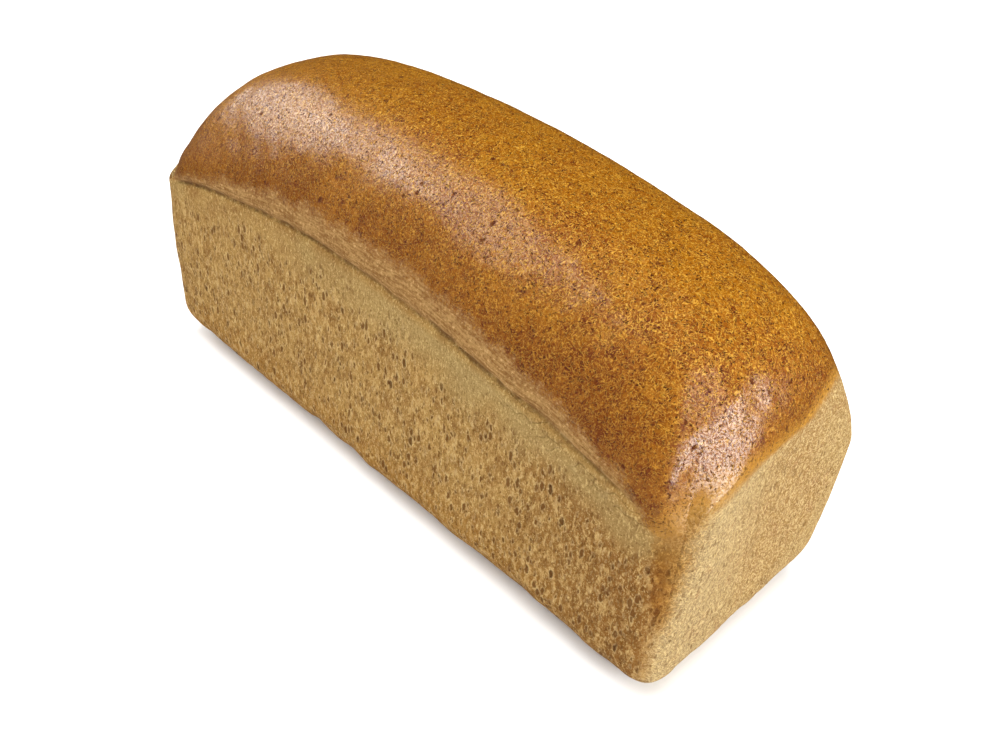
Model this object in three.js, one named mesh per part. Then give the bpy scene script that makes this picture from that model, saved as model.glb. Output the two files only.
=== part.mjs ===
// Tin loaf: wholemeal bread baked in an open tin, one closed solid.
//
// Millimetres, +Z up. The origin is the middle of the flat base. X runs along the loaf and
// Y across it. The near end is +X, and the front is the long side at -Y.
//
// The loaf is a box whose surface is moved onto the bread: a flat base with a rounded foot,
// walls that follow the tin up to a wavy rim, and a dome of risen crust above that rim.

import * as THREE from 'three';
import { mergeVertices } from 'three/addons/utils/BufferGeometryUtils.js';

const { abs, cos, max, min, sign, sin, PI } = Math;

// Driving dimensions.
const LENGTH = 270;
const WIDTH = 95;
const FOOT_RADIUS = 16.7;

// Height of the rim at the four corners: where the wall leaves the tin and the dome begins.
const RIM_FAR_FRONT = 73;
const RIM_NEAR_FRONT = 66;
const RIM_NEAR_BACK = 53;
const RIM_FAR_BACK = 63;

// Between its corners the rim bows up, on the long sides and on the ends. A skew moves the
// highest point of the bow: along +X on the sides, along +Y on the ends.
const SIDE_BOW = 16.3;
const SIDE_BOW_SKEW = -0.15;
const END_BOW = 24;
const END_BOW_SKEW = 0.36;

// The dome rises this far over the blended rim. Each section of it is the curve
// (1 - |t|^fullness)^softness, with t running from -1 at one wall to 1 at the other.
const DOME_RISE = 29;
const ALONG = { fullness: 7.2, softness: 0.73 };
const ACROSS = { fullness: 2.23, softness: 0.478 };

// The dough is slack towards the near front corner: this share of the dome's rise is lost there,
// from these stations on along and across the loaf.
const SLACKNESS = 0.6;
const SLACK_FROM_U = 0.9;
const SLACK_FROM_V = 0.05;

// Upright corners: their radius at the base, and at the height of a full wall. The dough never
// filled the tin at the near front corner, which stays slack and broad.
const WALL_HEIGHT = 77;
const CORNER_RADIUS_FOOT = 9;
const CORNER_RADIUS_RIM = 3;
const SLACK_CORNER_RADIUS_RIM = 25.5;
const CORNER_CURVE = 2.5; // 2 is a quarter circle; more is squarer and eases into the walls
const ROUNDING = 6; // how sharply the dome's lines turn inside a corner

// A cooled loaf draws its walls in: how far, half way along the top of an end and of a side.
const END_WAIST = 2.9;
const SIDE_WAIST = 2.3;

// How finely the solid is faceted, and how far the facets crowd towards the edges (0 to 1).
const STEPS_ALONG = 40;
const STEPS_ACROSS = 20;
const STEPS_UP = 12;
const FOOT_STEPS = 4;
const CROWDING = 0.65;

const crowded = (t) => t + (CROWDING * sin(PI * t)) / PI;

function smoothstep(low, high, x) {
  const t = min(max((x - low) / (high - low), 0), 1);
  return t * t * (3 - 2 * t);
}

// Rim height blended over the whole plan. u and v run from -1 to 1 along X and Y.
function rimHeight(u, v) {
  const corners =
    (RIM_FAR_FRONT * (1 - u) * (1 - v) +
      RIM_NEAR_FRONT * (1 + u) * (1 - v) +
      RIM_NEAR_BACK * (1 + u) * (1 + v) +
      RIM_FAR_BACK * (1 - u) * (1 + v)) /
    4;
  const sideBow = SIDE_BOW * (1 - u * u) * (1 + SIDE_BOW_SKEW * u);
  const endBow = END_BOW * (1 - v ** 4) * (1 + END_BOW_SKEW * v);
  return corners + sideBow + endBow;
}

function domeHeight(u, v) {
  const along = (1 - abs(u) ** ALONG.fullness) ** ALONG.softness;
  const across = (1 - abs(v) ** ACROSS.fullness) ** ACROSS.softness;
  const slack = SLACKNESS * smoothstep(SLACK_FROM_U, 1, u) * smoothstep(SLACK_FROM_V, -1, v);
  return rimHeight(u, v) + DOME_RISE * along * across * (1 - slack);
}

// Plan position of (u, v) at height z: a rounded rectangle, inset from the full size, with
// waisted sides. A corner's square of points is pulled in until its edge is the curve
// x^c + y^c = radius^c, less and less towards the middle of the loaf.
function planPoint(u, v, z, inset) {
  const upWall = min(z / WALL_HEIGHT, 1);
  const rimRadius = u > 0 && v < 0 ? SLACK_CORNER_RADIUS_RIM : CORNER_RADIUS_RIM;
  const radius = CORNER_RADIUS_FOOT + (rimRadius - CORNER_RADIUS_FOOT) * upWall;
  const halfLength = LENGTH / 2 - inset;
  const halfWidth = WIDTH / 2 - inset;
  let x = u * halfLength;
  let y = v * halfWidth;
  const intoCornerX = abs(x) - (halfLength - radius);
  const intoCornerY = abs(y) - (halfWidth - radius);
  if (intoCornerX > 0 && intoCornerY > 0) {
    const farther = max(intoCornerX, intoCornerY);
    const outward = farther / radius;
    const soft = (intoCornerX ** ROUNDING + intoCornerY ** ROUNDING) ** (1 / ROUNDING);
    const reach = soft + (farther - soft) * outward ** 2;
    const curved = (intoCornerX ** CORNER_CURVE + intoCornerY ** CORNER_CURVE) ** (1 / CORNER_CURVE);
    const pull = 1 + (reach / curved - 1) * outward;
    x = sign(x) * (halfLength - radius + intoCornerX * pull);
    y = sign(y) * (halfWidth - radius + intoCornerY * pull);
  }
  x -= sign(u) * abs(u) ** 6 * END_WAIST * upWall * (1 - v * v);
  y -= sign(v) * abs(v) ** 4 * SIDE_WAIST * upWall * (1 - u * u);
  return [x, y];
}

// Wall point at (u, v) on the box's edge. Steps 0 to FOOT_STEPS turn through the rounded foot,
// and the rest climb straight to the rim.
function wallPoint(u, v, step) {
  if (step < FOOT_STEPS) {
    const turn = (PI / 2) * (step / FOOT_STEPS);
    const z = FOOT_RADIUS * (1 - cos(turn));
    return [...planPoint(u, v, z, FOOT_RADIUS * (1 - sin(turn))), z];
  }
  const climb = (step - FOOT_STEPS) / (STEPS_UP - FOOT_STEPS);
  const z = FOOT_RADIUS + (rimHeight(u, v) - FOOT_RADIUS) * climb;
  return [...planPoint(u, v, z, 0), z];
}

function topPoint(u, v) {
  return [...planPoint(u, v, rimHeight(u, v), 0), domeHeight(u, v)];
}

function basePoint(u, v) {
  return [...planPoint(u, v, 0, FOOT_RADIUS), 0];
}

function loafGeometry() {
  const box = new THREE.BoxGeometry(2, 2, 2, STEPS_ALONG, STEPS_ACROSS, STEPS_UP);
  box.deleteAttribute('normal');
  box.deleteAttribute('uv');
  const geometry = mergeVertices(box, 1e-6);
  const position = geometry.getAttribute('position');
  for (let i = 0; i < position.count; i += 1) {
    const u = crowded(position.getX(i));
    const v = crowded(position.getY(i));
    const step = Math.round(((position.getZ(i) + 1) / 2) * STEPS_UP);
    let point = wallPoint(u, v, step);
    if (step === STEPS_UP) point = topPoint(u, v);
    if (step === 0) point = basePoint(u, v);
    position.setXYZ(i, ...point);
  }
  geometry.clearGroups();
  geometry.computeVertexNormals();
  return geometry;
}

const crust = new THREE.MeshStandardMaterial({ color: 0xb9773a, roughness: 0.6, metalness: 0 });

const loaf = new THREE.Mesh(loafGeometry(), crust);
loaf.name = 'loaf';

const tinLoaf = new THREE.Group();
tinLoaf.add(loaf);

export default tinLoaf;
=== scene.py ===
"""A wholemeal tin loaf: straight pale walls off the tin, a glazed golden dome, a fold between them.

The loaf's surface is worked out in millimetres, with u along the loaf and v across it, both from
-1 to 1, and put into the mesh in metres. Its base is on the floor and its near end at +X.
"""

from math import cos, pi, radians, sin

import bpy
import numpy as np
from mathutils import Matrix, Vector


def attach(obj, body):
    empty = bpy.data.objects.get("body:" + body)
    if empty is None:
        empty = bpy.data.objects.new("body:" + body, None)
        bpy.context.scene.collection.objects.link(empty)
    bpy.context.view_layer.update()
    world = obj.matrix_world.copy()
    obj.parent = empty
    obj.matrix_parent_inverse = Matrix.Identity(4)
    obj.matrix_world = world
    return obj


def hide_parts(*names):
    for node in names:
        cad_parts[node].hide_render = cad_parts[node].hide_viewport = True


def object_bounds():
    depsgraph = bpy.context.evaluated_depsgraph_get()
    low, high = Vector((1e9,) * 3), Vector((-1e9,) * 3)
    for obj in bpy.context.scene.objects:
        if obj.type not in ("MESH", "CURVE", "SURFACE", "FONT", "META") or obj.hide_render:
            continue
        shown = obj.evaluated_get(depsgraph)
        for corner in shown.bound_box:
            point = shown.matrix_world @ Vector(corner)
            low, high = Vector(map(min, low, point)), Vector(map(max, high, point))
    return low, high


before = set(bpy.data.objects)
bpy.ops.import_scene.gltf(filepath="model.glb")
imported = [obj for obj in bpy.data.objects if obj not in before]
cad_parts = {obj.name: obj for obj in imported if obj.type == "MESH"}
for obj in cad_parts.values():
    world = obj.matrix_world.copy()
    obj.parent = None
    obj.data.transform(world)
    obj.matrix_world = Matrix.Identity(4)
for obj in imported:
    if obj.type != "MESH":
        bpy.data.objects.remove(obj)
cad_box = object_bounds()

MM = 0.001  # millimetres to metres

# ---------------------------------------------------------------------------------------------
# The loaf's size and shape, in millimetres
# ---------------------------------------------------------------------------------------------

LENGTH = 270.0
WIDTH = 95.0
FOOT_RADIUS = 16.7

RIM_FAR_FRONT = 73.0
RIM_NEAR_FRONT = 66.0
RIM_NEAR_BACK = 53.0
RIM_FAR_BACK = 63.0
SIDE_BOW = 16.3
SIDE_BOW_SKEW = -0.15
END_BOW = 24.0
END_BOW_SKEW = 0.36

DOME_RISE = 29.0
ALONG_FULLNESS, ALONG_SOFTNESS = 7.2, 0.73
ACROSS_FULLNESS, ACROSS_SOFTNESS = 2.23, 0.478

# The dough is slack towards the near front corner: this share of the dome's rise is lost there.
SLACKNESS = 0.6
SLACK_FROM_U, SLACK_FROM_V = 0.9, 0.05

WALL_HEIGHT = 77.0
CORNER_RADIUS_FOOT = 9.0
CORNER_RADIUS_RIM = 3.0
SLACK_CORNER_RADIUS_RIM = 25.5
CORNER_CURVE = 2.5  # 2 is a quarter circle, and more is squarer and eases into the walls
ROUNDING = 6.0
END_WAIST = 2.9
SIDE_WAIST = 2.3

# Grid of the skin: lines along, across and up, of which the first go in under the base, and the
# next ones round the foot.
LINES_ALONG = 250
LINES_ACROSS = 104
LINES_UP = 90
BASE_LINES = 8
FOOT_LINES = 14
CROWD_ALONG, CROWD_ACROSS = 0.6, 1.0  # how far the lines crowd to the ends, and to the sides
CROWD_UP = 1.25  # above 1, the lines up the wall crowd to the rim
CAP_SHRINK = 0.9  # how far the rings under the base shrink towards its middle

# Each side of the dome: the grid axis that climbs away from it, and whether it climbs backwards.
SIDES = {"front": (1, False), "back": (1, True), "near": (0, True), "far": (0, False)}


def smoothstep(low, high, x):
    """0 below low, 1 above high, and 3t^2 - 2t^3 between them, t being the way across."""
    t = np.clip((x - low) / (high - low), 0.0, 1.0)
    return t * t * (3.0 - 2.0 * t)


def bell(x, width):
    """e to the minus (x / width) squared: 1 at 0, fading on both sides."""
    return np.exp(-((x / width) ** 2))


# ---------------------------------------------------------------------------------------------
# Irregularity: everything random is a hash of a whole-number cell, so it never changes
# ---------------------------------------------------------------------------------------------


def cell_random(cells, seed):
    """An even random number from 0 to 1 for each whole-number cell (x, y, z): the three numbers
    are multiplied by large odd constants, mixed by shifts, and the low bits kept."""
    mixed = cells.astype(np.int64).astype(np.uint32)
    h = mixed[..., 0] * np.uint32(73856093)
    h = h ^ (mixed[..., 1] * np.uint32(19349663))
    h = h ^ (mixed[..., 2] * np.uint32(83492791))
    h = h ^ np.uint32((seed * 2654435761) % 4294967296)
    h = (h ^ (h >> np.uint32(15))) * np.uint32(2246822519)
    h = (h ^ (h >> np.uint32(13))) * np.uint32(3266489917)
    h = h ^ (h >> np.uint32(16))
    return (h & np.uint32(0xFFFFFF)).astype(float) / 0xFFFFFF


def swell(points, size, seed):
    """Smooth noise from -1 to 1, with lumps about size millimetres across: random values at the
    corners of a cubic lattice, blended across each cube by smoothstep along x, y and z."""
    scaled = points / size
    cell = np.floor(scaled)
    within = scaled - cell
    weight = within * within * (3.0 - 2.0 * within)
    total = np.zeros(len(points))
    for i in (0, 1):
        for j in (0, 1):
            for k in (0, 1):
                corner = np.array([i, j, k])
                share = np.prod(np.where(corner, weight, 1.0 - weight), axis=1)
                total += share * cell_random(cell + corner, seed)
    return 2.0 * total - 1.0


def pits(points, spacing, smallest, largest, share, seed):
    """Pits from 0 (none) to 1 (the middle of one). One pit centre is scattered in each cell of
    the lattice given by spacing (x, y, z); share is the part of the cells that have a pit. Each
    is (1 - d^2)^2, d being the distance from its centre over its own radius."""
    scaled = points / np.array(spacing)
    cell = np.floor(scaled)
    deepest = np.zeros(len(points))
    for i in (-1, 0, 1):
        for j in (-1, 0, 1):
            for k in (-1, 0, 1):
                near = cell + np.array([i, j, k])
                centre = np.stack([cell_random(near, seed + n) for n in range(3)], axis=1)
                size = cell_random(near, seed + 3)
                radius = smallest + (largest - smallest) * size
                d = np.linalg.norm(near + centre - scaled, axis=1) / radius
                pit = np.clip(1.0 - d * d, 0.0, None) ** 2
                pit *= cell_random(near, seed + 4) < share
                deepest = np.maximum(deepest, pit)
    return deepest


# ---------------------------------------------------------------------------------------------
# The loaf's skin
# ---------------------------------------------------------------------------------------------


def rim_height(u, v):
    """Height at which the wall leaves the tin, blended over the whole plan: a straight blend of
    the four corner heights, plus a bow 1 - u^2 for the sides and 1 - v^4 for the ends, each
    skewed a little to one side."""
    corners = (
        RIM_FAR_FRONT * (1 - u) * (1 - v)
        + RIM_NEAR_FRONT * (1 + u) * (1 - v)
        + RIM_NEAR_BACK * (1 + u) * (1 + v)
        + RIM_FAR_BACK * (1 - u) * (1 + v)
    ) / 4
    side_bow = SIDE_BOW * (1 - u * u) * (1 + SIDE_BOW_SKEW * u)
    end_bow = END_BOW * (1 - v**4) * (1 + END_BOW_SKEW * v)
    return corners + side_bow + end_bow


def dome_height(u, v):
    """The rim's height plus the dome's rise, times (1 - |t|^fullness)^softness both ways and the
    share that is left towards the slack corner."""
    along = (1 - np.abs(u) ** ALONG_FULLNESS).clip(0) ** ALONG_SOFTNESS
    across = (1 - np.abs(v) ** ACROSS_FULLNESS).clip(0) ** ACROSS_SOFTNESS
    slack = SLACKNESS * smoothstep(SLACK_FROM_U, 1.0, u) * smoothstep(SLACK_FROM_V, -1.0, v)
    return rim_height(u, v) + DOME_RISE * along * across * (1 - slack)


def plan_point(u, v, z, inset):
    """Plan position at height z: a rectangle inset from the full size, each corner's square of
    points pulled in until its edge is the curve x^c + y^c = radius^c, less and less towards the
    middle, and the sides drawn in by u^6 (1 - v^2) and v^4 (1 - u^2) more and more up the wall."""
    up_wall = np.minimum(z / WALL_HEIGHT, 1.0)
    rim_radius = np.where((u > 0) & (v < 0), SLACK_CORNER_RADIUS_RIM, CORNER_RADIUS_RIM)
    radius = CORNER_RADIUS_FOOT + (rim_radius - CORNER_RADIUS_FOOT) * up_wall
    half_length = LENGTH / 2 - inset
    half_width = WIDTH / 2 - inset
    x = u * half_length
    y = v * half_width
    into_x = np.clip(np.abs(x) - (half_length - radius), 0.0, None)
    into_y = np.clip(np.abs(y) - (half_width - radius), 0.0, None)
    in_corner = (into_x > 0) & (into_y > 0)
    farther = np.maximum(into_x, into_y)
    outward = farther / radius
    soft = (into_x**ROUNDING + into_y**ROUNDING) ** (1 / ROUNDING)
    reach = soft + (farther - soft) * outward**2
    curved = (into_x**CORNER_CURVE + into_y**CORNER_CURVE) ** (1 / CORNER_CURVE)
    pull = 1 + (reach / np.maximum(curved, 1e-9) - 1) * outward
    x = np.where(in_corner, np.sign(x) * (half_length - radius + into_x * pull), x)
    y = np.where(in_corner, np.sign(y) * (half_width - radius + into_y * pull), y)
    x = x - np.sign(u) * np.abs(u) ** 6 * END_WAIST * up_wall * (1 - v * v)
    y = y - np.sign(v) * np.abs(v) ** 4 * SIDE_WAIST * up_wall * (1 - u * u)
    return x, y


def crowd(count, amount):
    """count + 1 stations from -1 to 1: even ones blended with sin(pi t / 2), which crowd towards
    the two ends."""
    t = np.linspace(-1.0, 1.0, count + 1)
    return (1 - amount) * t + amount * np.sin(pi * t / 2)


def edge_of(grid):
    """The border of a grid, once round anticlockwise seen from above, from its far front corner."""
    return np.concatenate([grid[:-1, 0], grid[-1, :-1], grid[:0:-1, -1], grid[0, :0:-1]])


def arc_from(points, axis, backwards):
    """Length along the grid lines of one axis, summed point to point from one side."""
    steps = np.linalg.norm(np.diff(points, axis=axis), axis=2)
    if backwards:
        steps = np.flip(steps, axis)
    total = np.cumsum(steps, axis=axis)
    total = np.concatenate([np.zeros_like(np.take(total, [0], axis)), total], axis=axis)
    return np.flip(total, axis) if backwards else total


def quads(ids):
    """The faces of a grid of vertex numbers, anticlockwise for a grid whose rows run along its
    first axis and columns along its second."""
    return np.stack([ids[:-1, :-1], ids[1:, :-1], ids[1:, 1:], ids[:-1, 1:]], axis=-1).reshape(-1, 4)


def loaf_skin():
    """The whole closed surface: rings of points that start under the base, turn through the foot
    and climb the wall, a flat cap inside the first ring, and the dome grid inside the last. Returns
    the points, the faces, the cap, each point's u and v, and its distance along the skin from the
    rim of each side."""
    u_line = crowd(LINES_ALONG, CROWD_ALONG)
    v_line = crowd(LINES_ACROSS, CROWD_ACROSS)
    u, v = np.meshgrid(u_line, v_line, indexing="ij")
    ring_u, ring_v = edge_of(u), edge_of(v)

    # Rings: under the base they shrink towards its middle, and up the wall they crowd to the rim.
    rows = np.arange(LINES_UP + 1)[:, None]
    under = np.clip(1 - rows / BASE_LINES, 0, 1)
    turn = (pi / 2) * np.clip((rows - BASE_LINES) / FOOT_LINES, 0, 1)
    wall_from = BASE_LINES + FOOT_LINES
    to_rim = 1 - np.clip((rows - wall_from) / (LINES_UP - wall_from), 0, 1)
    climb = 1 - to_rim**CROWD_UP
    rim = rim_height(ring_u, ring_v)[None, :]
    ring_z = FOOT_RADIUS * (1 - np.cos(turn)) + (rim - FOOT_RADIUS) * climb
    inset = FOOT_RADIUS * (1 - np.sin(turn)) * np.ones_like(ring_z)
    rings_u = ring_u[None, :] * np.ones_like(ring_z)
    rings_v = ring_v[None, :] * np.ones_like(ring_z)
    ring_x, ring_y = plan_point(rings_u, rings_v, ring_z, inset)
    ring_x = ring_x * (1 - CAP_SHRINK * under * WIDTH / LENGTH)
    ring_y = ring_y * (1 - CAP_SHRINK * under)
    rings = np.stack([ring_x, ring_y, ring_z], axis=-1)

    top_x, top_y = plan_point(u, v, rim_height(u, v), 0.0)
    top = np.stack([top_x, top_y, dome_height(u, v)], axis=-1)

    # Number the points: the rings first, then the inside of the dome.
    count = len(ring_u)
    ring_ids = np.arange((LINES_UP + 1) * count).reshape(LINES_UP + 1, count)
    top_ids = grid_ids(u.shape, ring_ids[-1], ring_ids.size)

    # Distance up the skin from the rim on each side; below the rim it is minus the drop.
    from_rim = {}
    for side, (axis, backwards) in SIDES.items():
        up_dome = arc_from(top, axis, backwards)
        below = edge_of(up_dome)[None, :] + ring_z - rim
        from_rim[side] = np.concatenate([below.ravel(), inner(up_dome)])

    points = np.concatenate([rings.reshape(-1, 3), inner(top)])
    point_u = np.concatenate([rings_u.ravel(), inner(u)])
    point_v = np.concatenate([rings_v.ravel(), inner(v)])
    cap = ring_ids[0, ::-1]
    ring_ids = np.concatenate([ring_ids, ring_ids[:, :1]], axis=1)
    faces = np.concatenate([quads(ring_ids.T), quads(top_ids)])
    return points, faces, cap, point_u, point_v, from_rim


def inner(grid):
    """A grid's points without its border, as a list."""
    return grid[1:-1, 1:-1].reshape(-1, *grid.shape[2:])


def grid_ids(shape, border, first):
    """Vertex numbers of a grid: its border's are given, and those inside it count on from first."""
    ids = np.empty(shape, int)
    ids[1:-1, 1:-1] = first + np.arange((shape[0] - 2) * (shape[1] - 2)).reshape(
        shape[0] - 2, shape[1] - 2
    )
    places = edge_of(np.arange(ids.size).reshape(shape))
    ids.ravel()[places] = border
    return ids


# ---------------------------------------------------------------------------------------------
# The bread's relief, moved along the skin's normals, and the marks that colour follows
# ---------------------------------------------------------------------------------------------

FOLD_DEPTH = 1.1  # the crease under the dome, on the long sides
FOLD_WIDTH = 1.0
OVERHANG = 1.3  # how far the risen dough bellies out above the crease
OVERHANG_DIES = (5.0, 24.0)  # how far above the rim it starts to die away, and is gone
BAND_WIDTH = 11.0  # pale stretched dough above the crease, at its widest
LEDGE_DEPTH = 1.6  # the step in at the far front corner
PIT_DEPTH = 0.9
PIT_SPACING = (6.5, 6.5, 11.0)  # along x, y and z, so the pits stand upright
SUNK = 0.3  # the whole skin goes in this far, so its lumps stay in the box
BOX_MARGIN = 0.05
CORNER_PATCH_HEIGHT = (22.0, 42.0)  # where the golden corner fades out, going down


def crust_edges(u, v, side, end):
    """Distance above the two edges of the golden crust: on the sides it starts above a band of
    stretched dough that narrows to both ends, and on the ends near the rim, climbing to the back."""
    band = BAND_WIDTH * (1 - np.abs((u - 0.02) / 0.98) ** 2.2)
    slack = 9.0 * smoothstep(0.80, 0.95, u) * (v < 0)
    above_band = side - np.maximum(band, 2.0) + slack
    near_edge = -1.5 + 15.0 * smoothstep(0.0, 0.9, v) + 3.0 * smoothstep(-0.7, -1.0, v)
    far_edge = 0.5 + 3.0 * v * v
    above_end = end - np.where(u > 0, near_edge, far_edge)
    return above_band, above_end


def golden_corner(u, v, side, end, height):
    """Where the golden crust runs down the slack corner: a stripe a little to the front of it,
    wide at the rim and narrowing downwards, its front edge sharper than the other."""
    round_corner = end - side - 2.5
    half_width = 1.2 + 4.0 * smoothstep(30.0, 68.0, height)
    front_edge = smoothstep(half_width + 4.0, half_width - 2.5, round_corner)
    end_edge = smoothstep(-half_width - 16.0, -half_width + 4.0, round_corner)
    stripe = front_edge * end_edge * smoothstep(*CORNER_PATCH_HEIGHT, height)
    return stripe * (u > 0.5) * (v < 0) * smoothstep(84.0, 74.0, height)


def bread_relief(points, u, v, from_rim):
    """How far each point moves outwards, in millimetres, and the marks that the finish follows:
    distances in millimetres, and the rest from 0 to 1."""
    side = np.where(v < 0, from_rim["front"], from_rim["back"])
    end = np.where(u > 0, from_rim["near"], from_rim["far"])
    height = points[:, 2]
    below = -np.minimum(side, end)
    on_side = smoothstep(-2.0, 6.0, end - side)
    wall = smoothstep(1.0, -4.0, -below)

    # The fold: a groove bell(d / width), d from the rim, and a belly over it that rises in 3.5 mm
    # and then dies away. Both weaken on the near half and fade out towards the slack corner.
    wander = 0.7 * swell(points, 16.0, 3) + 0.35 * swell(points, 5.0, 4)
    wander += 1.3 * swell(points, 9.0, 13) * smoothstep(0.35, 0.7, u)
    above_fold = side - wander
    slack = (1 - smoothstep(0.74, 0.92, u)) * (1 - smoothstep(-0.88, -0.98, u))
    fold_strength = on_side * slack * (0.75 + 0.35 * swell(points, 22.0, 5))
    fold_strength *= 1 - 0.4 * smoothstep(0.05, 0.6, u)
    fold = bell(above_fold, FOLD_WIDTH) * fold_strength
    belly = smoothstep(0.0, 3.5, above_fold) * (1 - smoothstep(*OVERHANG_DIES, above_fold))
    belly = belly * fold_strength

    # The ledge at the far front corner, where the dome starts a little inside the wall.
    ledge = smoothstep(-0.93, -1.0, u) * smoothstep(-0.8, -1.0, v)
    ledge *= smoothstep(-0.3, 1.2, -below) * (1 - smoothstep(6.0, 16.0, side))

    # Pores that the tin wall opened: upright pits, more and larger low down, none by the fold.
    bare = 2.5 + 4.0 * on_side * smoothstep(-1.0, 0.5, u)
    porous = wall * smoothstep(bare, bare + 12.0, below + 7.0 * swell(points, 14.0, 7))
    drift = np.stack([swell(points, 6.0, 8 + n) for n in range(3)], axis=1)
    drift = drift * np.array([0.8, 0.8, 1.6])
    pit = pits(points + drift, PIT_SPACING, smallest=0.16, largest=0.27, share=0.55, seed=20)
    pit = pit * porous * (0.45 + 0.55 * on_side)

    # Lumps from broad to fine, upright ones among the pores, and an uneven foot.
    outwards = (
        0.55 * swell(points, 42.0, 1)
        + 0.28 * swell(points, 17.0, 2)
        + 0.14 * swell(points, 7.0, 9)
        + 0.08 * swell(points, 3.0, 10)
        + 0.18 * swell(points * np.array([1.0, 1.0, 0.4]), 4.0, 14) * porous
        + 0.7 * swell(points, 11.0, 17) * smoothstep(24.0, 5.0, height)
        - SUNK
        - FOLD_DEPTH * fold
        + OVERHANG * belly
        - LEDGE_DEPTH * ledge
        - PIT_DEPTH * pit
    )
    outwards[height < 0.01] = 0.0

    above_band, above_end = crust_edges(u, v, side, end)
    torn = bell(side + 3.0, 5.0) * smoothstep(0.30, 0.55, u) * smoothstep(0.95, 0.80, u)
    smooth_top = smoothstep(22.0, 7.0, below + 6.0 * swell(points, 12.0, 16))
    smooth_top *= smoothstep(1.0, 5.0, below)
    slack_corner = smoothstep(0.72, 1.0, u) * smoothstep(-0.2, -1.0, v)
    crown = smoothstep(4.0, 46.0, side + 5.0 * swell(points, 30.0, 15))
    crown *= 1 - 0.6 * (u > 0) * smoothstep(30.0, 6.0, above_end)
    return outwards, {
        "above_fold": above_fold,
        "fold_strength": fold_strength,
        "above_band": above_band,
        "above_end": above_end,
        "on_end": 1 - on_side,
        "corner_patch": golden_corner(u, v, side, end, height),
        "porous": porous,
        "low": smoothstep(34.0, 6.0, height) * wall,
        # Browner and darker towards the near end of the long walls: partly the crust's colour, partly
        # painted shade.
        "near_wall_tone_and_shade": smoothstep(0.35, 0.95, u) * wall * on_side,
        "torn": torn * on_side,
        "smooth_top": smooth_top * on_side * (0.1 + 0.9 * smoothstep(-0.75, 0.4, u)),
        "pale_end": wall * (1 - on_side) * (u > 0) * smoothstep(0.1, -0.7, v),
        "slack_corner": slack_corner,
        "crown": crown,
        "wrinkled": bell((v + 0.68) / 0.30, 1.0) * bell((above_end + 4.0) / 5.0, 1.0) * (u > 0),
    }


def make_loaf():
    """The loaf as one mesh: the smooth skin, then its relief along the normals, kept in the
    frame's box, with the marks as attributes for its finish."""
    points, faces, cap, u, v, from_rim = loaf_skin()
    mesh = bpy.data.meshes.new("loaf_bread")
    mesh.from_pydata(points * MM, [], faces.tolist() + [cap.tolist()])
    mesh.update()
    normals = np.empty(len(points) * 3)
    mesh.vertex_normals.foreach_get("vector", normals)
    outwards, marks = bread_relief(points, u, v, from_rim)
    points = points + normals.reshape(-1, 3) * outwards[:, None]
    lowest, highest = (np.array(corner) / MM for corner in cad_box)
    points = np.clip(points, lowest + BOX_MARGIN, highest - BOX_MARGIN)
    points[:, 2] = np.where(points[:, 2] < 0.1, 0.0, points[:, 2])
    mesh.vertices.foreach_set("co", (points * MM).ravel())
    for name, values in marks.items():
        layer = mesh.attributes.new(name, "FLOAT", "POINT")
        layer.data.foreach_set("value", values.astype(np.float32))
    mesh.polygons.foreach_set("use_smooth", np.ones(len(mesh.polygons), bool))
    mesh.update()
    loaf = bpy.data.objects.new("loaf_bread", mesh)
    bpy.context.scene.collection.objects.link(loaf)
    return loaf


# ---------------------------------------------------------------------------------------------
# Finishes
# ---------------------------------------------------------------------------------------------


class Signal:
    """One output of a set of nodes. Arithmetic on it adds the Math nodes that work it out."""

    def __init__(self, nodes, socket):
        self.nodes = nodes
        self.socket = socket

    def math(self, operation, *values):
        return self.nodes.node("ShaderNodeMath", {"operation": operation}, dict(enumerate(values)))

    def __add__(self, other):
        return self.math("ADD", self, other)

    def __radd__(self, other):
        return self.math("ADD", other, self)

    def __sub__(self, other):
        return self.math("SUBTRACT", self, other)

    def __rsub__(self, other):
        return self.math("SUBTRACT", other, self)

    def __mul__(self, other):
        return self.math("MULTIPLY", self, other)

    def __rmul__(self, other):
        return self.math("MULTIPLY", other, self)

    def __abs__(self):
        return self.math("ABSOLUTE", self)

    def at_least(self, other):
        return self.math("MAXIMUM", self, other)

    def between(self, low, high):
        """0 at low, 1 at high, and smoothly from one to the other."""
        settings = {"interpolation_type": "SMOOTHSTEP"}
        inputs = {"Value": self, "From Min": low, "From Max": high}
        return self.nodes.node("ShaderNodeMapRange", settings, inputs)


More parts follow.
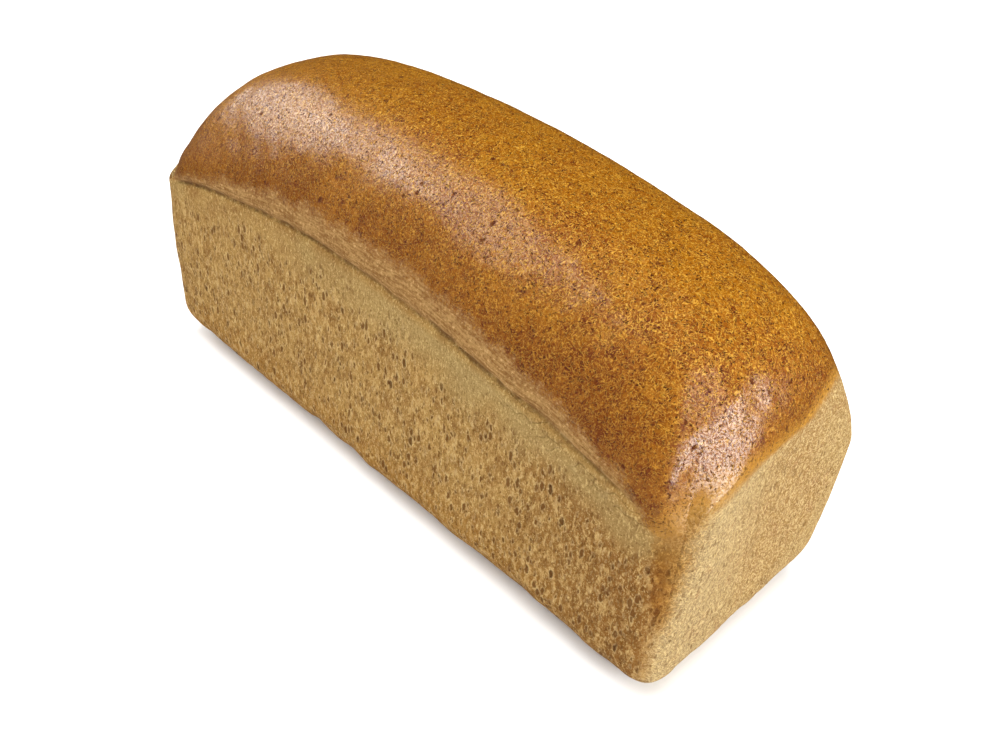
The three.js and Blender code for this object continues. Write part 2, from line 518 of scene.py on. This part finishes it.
class Nodes:
    """A node tree in the making: node() adds any node, and the rest are the ones used most."""

    def __init__(self, tree):
        self.tree = tree
        self.tree.nodes.clear()

    def node(self, kind, settings=None, inputs=None, output=0):
        """Adds a node, sets its settings, then links or sets its sockets."""
        node = self.tree.nodes.new(kind)
        for key, value in (settings or {}).items():
            setattr(node, key, value)
        for key, value in (inputs or {}).items():
            if isinstance(value, Signal):
                self.tree.links.new(value.socket, node.inputs[key])
            else:
                node.inputs[key].default_value = value
        return Signal(self, node.outputs[output]) if node.outputs else node

    def mark(self, name):
        """One of the mesh's own attributes, as a number."""
        return self.node("ShaderNodeAttribute", {"attribute_name": name}, output="Fac")

    def parts(self, vector):
        """The x, y and z of a vector, as three numbers."""
        node = self.node("ShaderNodeSeparateXYZ", None, {"Vector": vector}).socket.node
        return [Signal(self, socket) for socket in node.outputs]

    def vector(self, x, y, z):
        return self.node("ShaderNodeCombineXYZ", None, {"X": x, "Y": y, "Z": z})

    def stretched(self, place, by):
        """The place with x, y and z multiplied by three numbers."""
        return self.node("ShaderNodeVectorMath", {"operation": "MULTIPLY"}, {0: place, 1: by})

    def shifted(self, place, by, amount):
        """The place moved by amount times a vector, which drags a pattern out of line."""
        inputs = {0: by, 1: (amount, amount, amount), 2: place}
        return self.node("ShaderNodeVectorMath", {"operation": "MULTIPLY_ADD"}, inputs)

    def noise(self, place, size, detail=2.0, roughness=0.5, output="Fac"):
        """Cloudy noise about 0.5, with lumps of about the given size."""
        inputs = {"Vector": place, "Scale": 1.0 / size, "Detail": detail, "Roughness": roughness}
        return self.node("ShaderNodeTexNoise", None, inputs, output)

    def cells(self, place, size, output="Distance"):
        """Distance to the nearest of scattered points that are about size apart, as a share of
        size, or that point's random colour."""
        return self.node("ShaderNodeTexVoronoi", None, {"Vector": place, "Scale": 1.0 / size}, output)

    def dots(self, place, size, smallest, largest, soft=0.10):
        """A dot round each scattered point, of a random radius as a share of size: 1 in its
        middle and 0 outside, with a soft edge. A negative smallest leaves some points bare."""
        colour = self.cells(place, size, "Color")
        pick = self.parts(colour)[0]
        radius = pick * pick * (largest - smallest) + smallest
        return (radius - self.cells(place, size)).between(0.0, soft)

    def pores(self, place, size, smallest, largest, soft=0.10):
        """Dots as above, and a ring round each that is colour only: a painted highlight on the pore's
        edge.
        """
        pick = self.parts(self.cells(place, size, "Color"))[0]
        inside = pick * pick * (largest - smallest) + smallest - self.cells(place, size)
        hole = inside.between(0.0, soft)
        return hole, inside.between(-0.16, -0.02) * (1 - hole)

    def threads(self, place, size, width):
        """Thin winding lines, where cloudy noise passes through its middle value."""
        line = 1 - abs(self.noise(place, size, 1.0) - 0.5) * (1.0 / width)
        return line.at_least(0.0)

    def mixed(self, first, second, share):
        """Part of the way from one number to another."""
        return self.node("ShaderNodeMix", {"data_type": "FLOAT"}, {0: share, 2: first, 3: second})

    def tinted(self, colour, tint):
        """A colour times another."""
        settings = {"data_type": "RGBA", "blend_type": "MULTIPLY"}
        return self.node("ShaderNodeMix", settings, {0: 1.0, 6: colour, 7: tint}, 2)

    def blend(self, under, over, amount):
        """One colour laid over another."""
        settings = {"data_type": "RGBA", "clamp_factor": True}
        return self.node("ShaderNodeMix", settings, {0: amount, 6: under, 7: over}, 2)


def dye(red, green, blue):
    """A colour given as it looks on screen, 0 to 255, as the linear light that a shader takes:
    ((c + 0.055) / 1.055) to the power 2.4."""
    linear = [((c / 255 + 0.055) / 1.055) ** 2.4 for c in (red, green, blue)]
    return (*linear, 1.0)


def new_finish(name):
    """An empty material, and the nodes to make it with."""
    material = bpy.data.materials.new(name)
    material.use_nodes = True
    return material, Nodes(material.node_tree)


def wall_crust(f, place, mottle, clouds):
    """The walls off the tin: pale and dry, with upright pores. Returns colour and relief (mm)."""
    loose = f.shifted(place, f.noise(place, 1.5, 2.0, output="Color"), 1.3)
    porous = f.mark("porous")
    end = f.mark("on_end")
    open_share = porous * (1 - 0.7 * end)
    upright = f.stretched(loose, (1.0, 1.0, 0.45))
    taller = f.stretched(upright, (1.0, 1.0, 0.95))
    finer = f.stretched(upright, (1.1, 1.1, 1.0))
    large, large_rim_highlight = f.pores(upright, 3.1, smallest=-0.17, largest=0.34, soft=0.14)
    middling, middling_rim_highlight = f.pores(taller, 1.9, smallest=0.10, largest=0.52, soft=0.20)
    small, _ = f.pores(finer, 1.1, smallest=0.12, largest=0.50, soft=0.16)
    # rim: the painted highlight round the edges of the large and middling pores.
    rim = large_rim_highlight.at_least(middling_rim_highlight) * open_share
    large = large * open_share
    middling = middling * (0.10 + 0.90 * open_share)
    small = small * (0.45 + 0.55 * porous)
    side_crumbs = f.noise(f.stretched(loose, (1.0, 1.0, 0.72)), 0.6, 3.0, 0.8)
    end_crumbs = f.noise(f.stretched(loose, (0.9, 0.9, 1.3)), 0.6, 3.0, 0.8)
    crumbs = f.mixed(side_crumbs, end_crumbs, end)
    strands = f.mixed(f.noise(upright, 0.8, 2.0, 0.6), f.noise(loose, 0.9, 2.0, 0.6), end)
    fibres = f.threads(loose, 1.3, 0.07) * end
    lumps = f.noise(upright, 1.9, 2.0, 0.55)

    # The long sides: tan, greyer below the fold, browner low down, and browner and darker towards the
    # near end, partly the crust's colour and partly painted shade.
    colour = f.blend(dye(153, 119, 66), dye(135, 99, 51), mottle.between(0.35, 0.66))
    colour = f.blend(colour, dye(149, 125, 75), clouds.between(0.46, 0.66) * 0.5 * (1 - porous))
    colour = f.blend(colour, dye(148, 126, 80), f.mark("smooth_top") * 0.7)
    colour = f.blend(colour, dye(138, 92, 30), f.mark("low") * 0.7)
    colour = f.blend(colour, dye(117, 76, 32), f.mark("near_wall_tone_and_shade") * (0.3 + 0.6 * porous))
    # The ends: paler and more even.
    end_colour = f.blend(dye(140, 111, 67), dye(136, 103, 59), clouds.between(0.40, 0.60))
    end_colour = f.blend(end_colour, dye(150, 130, 94), f.mark("pale_end") * 0.8)
    end_colour = f.blend(end_colour, dye(138, 96, 61), mottle.between(0.54, 0.70) * 0.5)
    colour = f.blend(colour, end_colour, end * 0.95)
    # Lumps and crumbs are paler where they stand up and darker between, partly the crust's grain and
    # partly painted light and shade on their bumps; strands and fibres are the crust's own pale grain.
    # A painted highlight rings the pores, and the pores are painted dark inside as painted shade.
    colour = f.blend(colour, dye(181, 148, 92), lumps.between(0.51, 0.66) * 0.6 * open_share)
    colour = f.blend(colour, dye(109, 76, 36), lumps.between(0.48, 0.34) * 0.55 * open_share)
    colour = f.blend(colour, dye(86, 56, 25), crumbs.between(0.48, 0.28) * 0.85)
    colour = f.blend(colour, dye(205, 177, 119), crumbs.between(0.54, 0.76) * (0.9 - 0.1 * end))
    colour = f.blend(colour, dye(197, 168, 108), strands.between(0.53, 0.72) * 0.6)
    colour = f.blend(colour, dye(203, 177, 125), (fibres * 0.8).at_least(rim * 0.22))
    # Painted shade: the small, middling and large pores are painted dark inside, over their sunk
    # relief.
    colour = f.blend(colour, dye(98, 63, 28), small * (0.7 - 0.2 * end))
    colour = f.blend(colour, dye(98, 62, 27), middling * 0.85)
    colour = f.blend(colour, dye(78, 46, 17), large * 0.8)
    relief = crumbs * 0.40 + strands * 0.25 + mottle * 0.4 + fibres * 0.15
    relief = relief + lumps * open_share * 0.9 - large * 0.8 - middling * 0.6 - small * 0.25
    return colour, relief


def dome_crust(f, place, mottle, clouds):
    """The risen top: golden brown under a glaze, with pale threads of bran, dark specks and red
    brown flecks. Returns colour, relief (mm) and how much glaze there is."""
    loose = f.shifted(place, f.noise(place, 2.4, 2.0, output="Color"), 2.2)
    second = f.shifted(place, f.noise(place, 3.1, 1.0, output="Color"), 3.0)
    second = f.stretched(second, (1.1, 0.9, 1.0))
    some = f.noise(place, 1.9, 2.0)
    threads = f.threads(loose, 1.25, 0.055) * some.between(0.44, 0.58)
    threads = threads.at_least(f.threads(second, 0.95, 0.07) * some.between(0.54, 0.40))
    specks = f.noise(loose, 0.85, 2.0, 0.6).between(0.545, 0.66)
    pale_grain = f.noise(second, 0.6, 2.0, 0.65)
    flecks = f.dots(loose, 4.4, smallest=-0.03, largest=0.28, soft=0.12)
    freckles = f.noise(place, 4.6, 2.0, 0.6)
    blush = f.noise(place, 3.6, 3.0, 0.6)
    patchy = f.noise(second, 2.2, 2.0, 0.6)

    # From brown low down to golden on the crown, patchy, and yellower along the end's edge.
    crown = f.mark("crown")
    golden_edge = f.mark("above_end").between(6.0 + 10.0 * f.mark("slack_corner"), 1.0)
    low = f.blend(dye(115, 64, 12), dye(98, 49, 8), clouds.between(0.36, 0.62))
    high = f.blend(dye(129, 76, 5), dye(118, 63, 8), clouds.between(0.36, 0.62))
    colour = f.blend(low, high, crown)
    colour = f.blend(colour, dye(138, 88, 9), mottle.between(0.50, 0.72) * 0.8 * crown)
    colour = f.blend(colour, dye(85, 33, 9), blush.between(0.50, 0.68) * 0.85)
    colour = f.blend(colour, dye(146, 90, 20), patchy.between(0.52, 0.70) * (0.40 + 0.40 * crown))
    colour = f.blend(colour, dye(91, 41, 10), freckles.between(0.58, 0.70) * 0.5)
    colour = f.blend(colour, dye(164, 117, 43), golden_edge * 0.8)

    # The grain of the crust, its threads of bran and its flecks.
    colour = f.blend(colour, dye(52, 20, 6), specks * (0.75 + 0.20 * crown))
    colour = f.blend(colour, dye(162, 106, 20), pale_grain.between(0.52, 0.68) * (0.45 + 0.50 * crown))
    colour = f.blend(colour, dye(195, 145, 51), threads * (0.40 + 0.55 * crown))
    colour = f.blend(colour, dye(65, 20, 9), flecks * 0.75)
    relief = threads * 0.10 - specks * 0.14 + pale_grain * 0.12 - flecks * 0.2 + mottle * 0.40
    sheen = (0.22 + pale_grain.between(0.42, 0.58)) * (1 - 0.95 * specks) * (1 - flecks)
    return colour, relief, sheen


def bread_finish():
    """Pale open-pored walls, a golden speckled dome with a baked-on glaze, and what lies between.
    Every pattern is laid out in millimetres from the object's own coordinates."""
    material, f = new_finish("bread_crust")
    place = f.stretched(f.node("ShaderNodeTexCoord", output="Object"), (1 / MM, 1 / MM, 1 / MM))
    x, y, _ = f.parts(place)
    clouds = f.noise(place, 28.0, 3.0)
    mottle = f.noise(place, 6.0, 3.0, 0.6)
    grain = f.noise(place, 1.1, 3.0, 0.7)
    wall_colour, wall_relief = wall_crust(f, place, mottle, clouds)
    dome_colour, dome_relief, sheen = dome_crust(f, place, mottle, clouds)

    # Dough stretched over the fold: a pinkish tan with fine lines along the fold.
    above_fold = f.mark("above_fold")
    ragged = (mottle - 0.5) * 9.0 + (grain - 0.5) * 6.0
    along_fold = f.noise(f.vector(x * 0.14, above_fold, y * 0.2), 0.8, 3.0, 0.65)
    dough = f.blend(dye(154, 119, 72), dye(125, 89, 48), along_fold.between(0.38, 0.62))
    dough = f.blend(dough, dye(94, 56, 25), grain.between(0.52, 0.70) * 0.65)
    dough = f.blend(dough, dye(195, 158, 104), grain.between(0.46, 0.30) * 0.6)
    slack_corner = f.mark("slack_corner")
    folded = (above_fold + (grain - 0.5) * 1.5).between(-0.4, 0.8) * (1 - slack_corner)
    skin = f.blend(wall_colour, dough, folded)

    # The golden crust, with ragged edges, and down the slack corner.
    golden = (f.mark("above_band") + ragged).between(-3.2, 3.2)
    above_end = f.mark("above_end") + ragged * (0.35 + 0.5 * slack_corner)
    edge_from, edge_to = -2.0 - 6.0 * slack_corner, 2.0 + 7.0 * slack_corner
    golden = golden * above_end.between(edge_from, edge_to)
    patch = (f.mark("corner_patch") + (mottle - 0.5) * 0.9 + (grain - 0.5) * 0.7).between(0.1, 1.0)
    on_wall = (1 - golden) * f.mark("on_end")
    skin = f.blend(skin, wall_colour, on_wall)
    skin = f.blend(skin, dome_colour, golden)
    corner = f.tinted(wall_colour, (0.66, 0.46, 0.20, 1.0))
    skin = f.blend(skin, corner, patch * (1 - golden) * 0.9)

    # The crease, painted as a dark line of painted shade in its groove, and the small tears beside it
    # where it gives out, pale flakes with the same painted shade along their cracks.
    hair = abs(above_fold + (grain - 0.5) * 1.6)
    crease_shade_and_groove = (1.25 - hair).between(0.0, 1.1) * f.mark("fold_strength").between(0.15, 0.8)
    crease_shade_and_groove = crease_shade_and_groove * f.noise(place, 4.0, 2.0).between(0.28, 0.55)
    torn = f.mark("torn") * f.threads(f.stretched(place, (0.55, 1.0, 1.0)), 4.6, 0.035)
    skin = f.blend(skin, dye(185, 159, 104), f.mark("torn") * mottle.between(0.52, 0.64) * 0.5)
    skin = f.blend(skin, dye(75, 45, 21), crease_shade_and_groove.at_least(torn * 0.5) * 0.65)

    # Stretch wrinkles under the golden edge of the near end.
    ripples = f.noise(f.vector(y * 0.16, f.mark("above_end"), x * 0.1), 1.5, 2.0) * f.mark("wrinkled")
    skin = f.blend(skin, dye(199, 172, 116), ripples.between(0.42, 0.62) * 0.5)

    relief = f.mixed(wall_relief, dome_relief, golden)
    relief = relief - crease_shade_and_groove * 0.4 - torn * 0.3 + ripples * 1.4
    bump = f.node("ShaderNodeBump", None, {"Strength": 1.0, "Distance": MM, "Height": relief})

    surface = f.node(
        "ShaderNodeBsdfPrincipled",
        None,
        {
            "Base Color": skin,
            "Roughness": 0.95 - 0.5 * golden + 0.12 * (grain - 0.5),
            "Coat Weight": golden * sheen * 0.46,
            "Coat Roughness": 0.24,
            "Coat IOR": 2.0,
            "Specular IOR Level": 0.08,
            "Normal": bump,
        },
    )
    f.node("ShaderNodeOutputMaterial", None, {"Surface": surface})
    return material


def floor_finish():
    """Plain matt white card."""
    material, f = new_finish("white_card")
    inputs = {"Base Color": (0.94, 0.94, 0.94, 1.0), "Roughness": 0.9, "Specular IOR Level": 0.1}
    card = f.node("ShaderNodeBsdfPrincipled", None, inputs)
    f.node("ShaderNodeOutputMaterial", None, {"Surface": card})
    return material


# ---------------------------------------------------------------------------------------------
# Studio
# ---------------------------------------------------------------------------------------------

FOCUS = Vector((9.63, 11.91, 30.91)) * MM
CAMERA_DISTANCE = 359.3 * MM
CAMERA_AZIMUTH = radians(41.81)
CAMERA_ELEVATION = radians(34.18)
CAMERA_ROLL = radians(6.55)
LENS, SENSOR = 32.88, 36.0  # millimetres

FLOOR_SIZE = 40.0  # metres
BACKDROP_RADIUS = 6.0
LIGHT_DISTANCE = 3.0
AIM = Vector((0.0, 0.0, 0.08))  # the point that the lights face
ROOM_STRENGTH = 0.25
CEILING_STRENGTH = 2.5
CEILING_SPREAD = radians(46.0)


def direction(azimuth, elevation):
    """Unit vector from the loaf towards a place round it: azimuth 0 is at the front, -Y."""
    return Vector(
        (sin(azimuth) * cos(elevation), -cos(azimuth) * cos(elevation), sin(elevation))
    )


def make_camera():
    """A camera looking at the focus, rolled about its own line of sight."""
    back = direction(CAMERA_AZIMUTH, CAMERA_ELEVATION)
    level = Vector((cos(CAMERA_AZIMUTH), sin(CAMERA_AZIMUTH), 0.0))
    upright = back.cross(level)
    right = cos(CAMERA_ROLL) * level + sin(CAMERA_ROLL) * upright
    up = cos(CAMERA_ROLL) * upright - sin(CAMERA_ROLL) * level
    camera = bpy.data.objects.new("camera", bpy.data.cameras.new("camera"))
    camera.data.lens = LENS
    camera.data.sensor_width = SENSOR
    camera.data.clip_start = 0.01
    place = FOCUS + back * CAMERA_DISTANCE
    turn = Matrix((right, up, back)).transposed().to_4x4()
    camera.matrix_world = Matrix.Translation(place) @ turn
    bpy.context.scene.collection.objects.link(camera)
    bpy.context.scene.camera = camera


def add_light(name, kind, azimuth, elevation):
    """A light of the given kind, placed round the loaf and aimed at it. Returns its object."""
    lamp = bpy.data.lights.new(name, kind)
    light = bpy.data.objects.new(name, lamp)
    towards = direction(radians(azimuth), radians(elevation))
    light.location = AIM + towards * LIGHT_DISTANCE
    light.rotation_euler = towards.to_track_quat("Z", "Y").to_euler()
    light.visible_camera = False
    bpy.context.scene.collection.objects.link(light)
    return light


def soft_box(name, azimuth, elevation, size, power):
    """A wide rectangular soft light: its width and height in metres, its power in watts."""
    lamp = add_light(name, "AREA", azimuth, elevation).data
    lamp.shape = "RECTANGLE"
    lamp.size, lamp.size_y = size
    lamp.energy = power


def make_room():
    """Even, dim light from all round, which doesn't show in the glaze."""
    world = bpy.data.worlds.new("dim_room")
    bpy.context.scene.world = world
    world.use_nodes = True
    world.cycles_visibility.glossy = False
    f = Nodes(world.node_tree)
    inputs = {"Color": (1.0, 0.99, 0.975, 1.0), "Strength": ROOM_STRENGTH}
    f.node("ShaderNodeOutputWorld", None, {"Surface": f.node("ShaderNodeBackground", None, inputs)})


def make_backdrop():
    """A plain white dome far round the loaf, that only the camera sees."""
    bpy.ops.mesh.primitive_uv_sphere_add(segments=64, ring_count=32, radius=BACKDROP_RADIUS)
    backdrop = bpy.context.object
    backdrop.name = "backdrop"
    material, f = new_finish("white_backdrop")
    glow = f.node("ShaderNodeEmission", None, {"Color": (1.0, 1.0, 1.0, 1.0), "Strength": 1.0})
    f.node("ShaderNodeOutputMaterial", None, {"Surface": glow})
    backdrop.data.materials.append(material)
    backdrop.visible_diffuse = False
    backdrop.visible_glossy = False
    backdrop.visible_transmission = False
    backdrop.visible_shadow = False


def make_studio():
    """A large white card to stand on, a white backdrop, a dim room, and soft lights above and on
    both sides, each side's with a fainter one over it. Only the side lights show in the glaze."""
    bpy.ops.mesh.primitive_plane_add(size=FLOOR_SIZE)
    floor = bpy.context.object
    floor.name = "floor"
    floor.data.materials.append(floor_finish())
    floor.visible_glossy = False
    make_backdrop()
    make_room()
    ceiling = add_light("ceiling_light", "SUN", 0.0, 90.0)
    ceiling.data.angle = CEILING_SPREAD
    ceiling.data.energy = CEILING_STRENGTH
    ceiling.visible_glossy = False
    soft_box("left_light", -75.0, 25.0, (2.2, 1.5), 46.0)
    soft_box("left_fill", -53.0, 45.0, (2.3, 2.1), 34.0)
    soft_box("right_light", 88.0, 17.0, (4.9, 1.1), 140.0)
    soft_box("right_fill", 82.0, 42.0, (2.2, 1.6), 24.0)
    bpy.context.scene.view_settings.view_transform = "Standard"


make_camera()
make_studio()
loaf = make_loaf()
loaf.data.materials.append(bread_finish())
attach(loaf, "root")
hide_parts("loaf")
